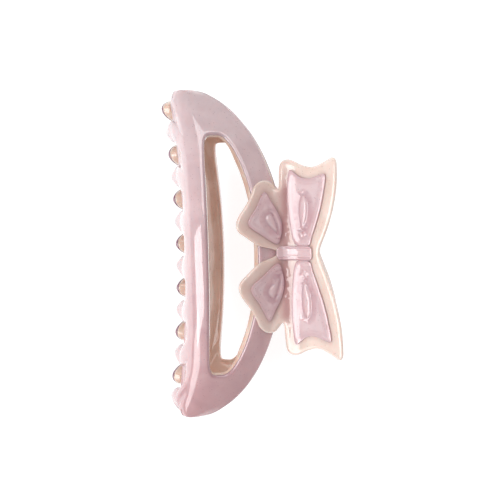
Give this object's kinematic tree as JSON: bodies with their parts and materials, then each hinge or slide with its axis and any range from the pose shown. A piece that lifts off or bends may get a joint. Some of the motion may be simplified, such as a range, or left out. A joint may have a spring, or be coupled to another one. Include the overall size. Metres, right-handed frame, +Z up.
{
  "type": "hair claw clip",
  "caption": "Two-colour hair claw clip with interlocking teeth, D-shaped cutouts and bow-shaped thumb tabs on a sprung hinge.",
  "frame": {"origin": "on the surface that the clip lies on, below the middle of its bounding box", "axes": "+X from the teeth to the thumb tabs, +Y along the hinge pin, +Z up through the upper jaw"},
  "size_m": [0.0594, 0.1106, 0.0482],
  "materials": {
    "cream": "polished, slightly translucent",
    "mauve_glaze": "polished pearl",
    "mauve_enamel": "polished pearl",
    "steel": "drawn wire"
  },
  "bodies": {
    "lower_jaw": {"lower_jaw_core": "cream", "lower_jaw_glaze": "mauve_glaze", "lower_hinge_lugs": "cream", "lower_bow_plate": "cream", "lower_bow_knot": "mauve_enamel", "lower_wing_front_left": "mauve_enamel", "lower_wing_front_right": "mauve_enamel", "lower_wing_back_left": "mauve_enamel", "lower_wing_back_right": "mauve_enamel", "hinge_pin": "steel", "torsion_spring": "steel"},
    "upper_jaw": {"upper_jaw_core": "cream", "upper_jaw_glaze": "mauve_glaze", "upper_hinge_lugs": "cream", "upper_bow_plate": "cream", "upper_bow_knot": "mauve_enamel", "upper_wing_front_left": "mauve_enamel", "upper_wing_front_right": "mauve_enamel", "upper_wing_back_left": "mauve_enamel", "upper_wing_back_right": "mauve_enamel"}
  },
  "joints": [
    {"name": "jaw_hinge", "type": "hinge", "parent": "lower_jaw", "child": "upper_jaw", "pos_m": [0.01233, 0, 0.02411], "axis": [0, 1, 0], "range_deg": [0, 55], "stiffness_Nm_per_rad": 0.2, "springref_deg": -28.65, "deforming": ["torsion_spring"]}
  ]
}
